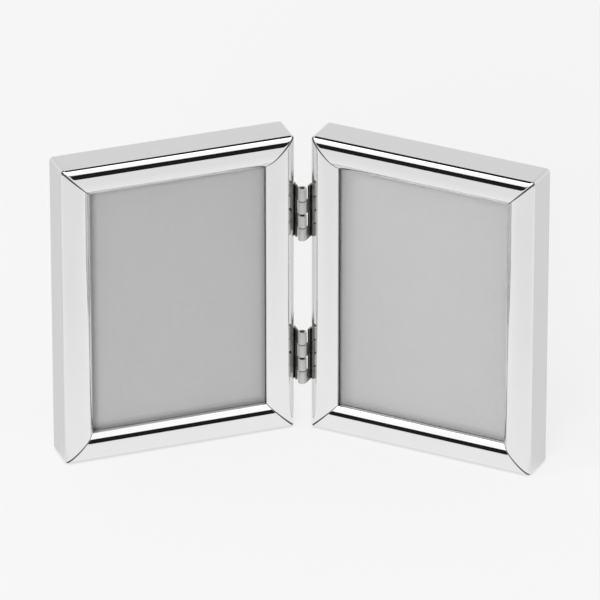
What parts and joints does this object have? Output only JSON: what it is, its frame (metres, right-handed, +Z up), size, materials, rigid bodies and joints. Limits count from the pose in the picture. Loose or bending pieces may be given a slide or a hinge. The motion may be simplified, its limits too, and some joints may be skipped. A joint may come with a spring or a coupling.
{
  "type": "hinged double photo frame",
  "caption": "Hinged double photo frame of polished silver-plated mitred rails with rounded fronts, glazed, velvet backed, standing open like a book and folding shut.",
  "frame": {"origin": "on the table, under the middle of the standing pair's bounding box", "axes": "+Z up along the hinge axis, +X from the left frame to the right frame, +Y away from the viewer, so the pictures look towards -Y"},
  "size_m": [0.1542, 0.0414, 0.1016],
  "materials": {
    "silver_plate": "mirror polished silver plate",
    "hinge_steel": "satin, drawn along the barrel",
    "button_steel": "satin nickel",
    "corner_key": "raw cast",
    "clear_glass": "clear polished",
    "photo_paper": "matte grey insert",
    "packing_card": "plain greyboard",
    "back_board": "raw fibreboard",
    "black_velvet": "short-pile velvet"
  },
  "bodies": {
    "left_frame": {"left_top_rail": "silver_plate", "left_bottom_rail": "silver_plate", "left_hinge_stile": "silver_plate", "left_outer_stile": "silver_plate", "left_corner_keys": "corner_key", "left_glass": "clear_glass", "left_photo_card": "photo_paper", "left_packing_card": "packing_card", "left_back_board": "back_board", "left_velvet_back": "black_velvet", "left_button_rivets": "button_steel", "upper_hinge_left_leaf": "hinge_steel", "upper_hinge_pin": "hinge_steel", "upper_hinge_left_rivets": "hinge_steel", "lower_hinge_left_leaf": "hinge_steel", "lower_hinge_pin": "hinge_steel", "lower_hinge_left_rivets": "hinge_steel"},
    "right_frame": {"right_top_rail": "silver_plate", "right_bottom_rail": "silver_plate", "right_hinge_stile": "silver_plate", "right_outer_stile": "silver_plate", "right_corner_keys": "corner_key", "right_glass": "clear_glass", "right_photo_card": "photo_paper", "right_packing_card": "packing_card", "right_back_board": "back_board", "right_velvet_back": "black_velvet", "right_button_rivets": "button_steel", "upper_hinge_right_leaf": "hinge_steel", "upper_hinge_right_rivets": "hinge_steel", "lower_hinge_right_leaf": "hinge_steel", "lower_hinge_right_rivets": "hinge_steel"},
    "left_button_top": {"left_turn_button_top": "button_steel"},
    "left_button_bottom": {"left_turn_button_bottom": "button_steel"},
    "left_button_outer": {"left_turn_button_outer": "button_steel"},
    "left_button_hinge": {"left_turn_button_hinge": "button_steel"},
    "right_button_top": {"right_turn_button_top": "button_steel"},
    "right_button_bottom": {"right_turn_button_bottom": "button_steel"},
    "right_button_outer": {"right_turn_button_outer": "button_steel"},
    "right_button_hinge": {"right_turn_button_hinge": "button_steel"}
  },
  "joints": [
    {"name": "frame_fold", "type": "hinge", "parent": "left_frame", "child": "right_frame", "pos_m": [0, 0.00702, 0], "axis": [0, 0, 1], "range_deg": [-134, 46]},
    {"name": "left_button_top_turn", "type": "hinge", "parent": "left_frame", "child": "left_button_top", "pos_m": [-0.04204, 0.00509, 0.09863], "axis": [-0.3907, 0.9205, 0], "range_deg": [-90, 90]},
    {"name": "left_button_bottom_turn", "type": "hinge", "parent": "left_frame", "child": "left_button_bottom", "pos_m": [-0.04204, 0.00509, 0.00298], "axis": [-0.3907, 0.9205, 0], "range_deg": [-90, 90]},
    {"name": "left_button_outer_turn", "type": "hinge", "parent": "left_frame", "child": "left_button_outer", "pos_m": [-0.07437, -0.00863, 0.0508], "axis": [-0.3907, 0.9205, 0], "range_deg": [-90, 90]},
    {"name": "left_button_hinge_turn", "type": "hinge", "parent": "left_frame", "child": "left_button_hinge", "pos_m": [-0.00971, 0.01881, 0.0508], "axis": [-0.3907, 0.9205, 0], "range_deg": [-90, 90]},
    {"name": "right_button_top_turn", "type": "hinge", "parent": "right_frame", "child": "right_button_top", "pos_m": [0.04204, 0.00509, 0.09863], "axis": [0.3907, 0.9205, 0], "range_deg": [-90, 90]},
    {"name": "right_button_bottom_turn", "type": "hinge", "parent": "right_frame", "child": "right_button_bottom", "pos_m": [0.04204, 0.00509, 0.00298], "axis": [0.3907, 0.9205, 0], "range_deg": [-90, 90]},
    {"name": "right_button_outer_turn", "type": "hinge", "parent": "right_frame", "child": "right_button_outer", "pos_m": [0.07437, -0.00863, 0.0508], "axis": [0.3907, 0.9205, 0], "range_deg": [-90, 90]},
    {"name": "right_button_hinge_turn", "type": "hinge", "parent": "right_frame", "child": "right_button_hinge", "pos_m": [0.00971, 0.01881, 0.0508], "axis": [0.3907, 0.9205, 0], "range_deg": [-90, 90]}
  ]
}
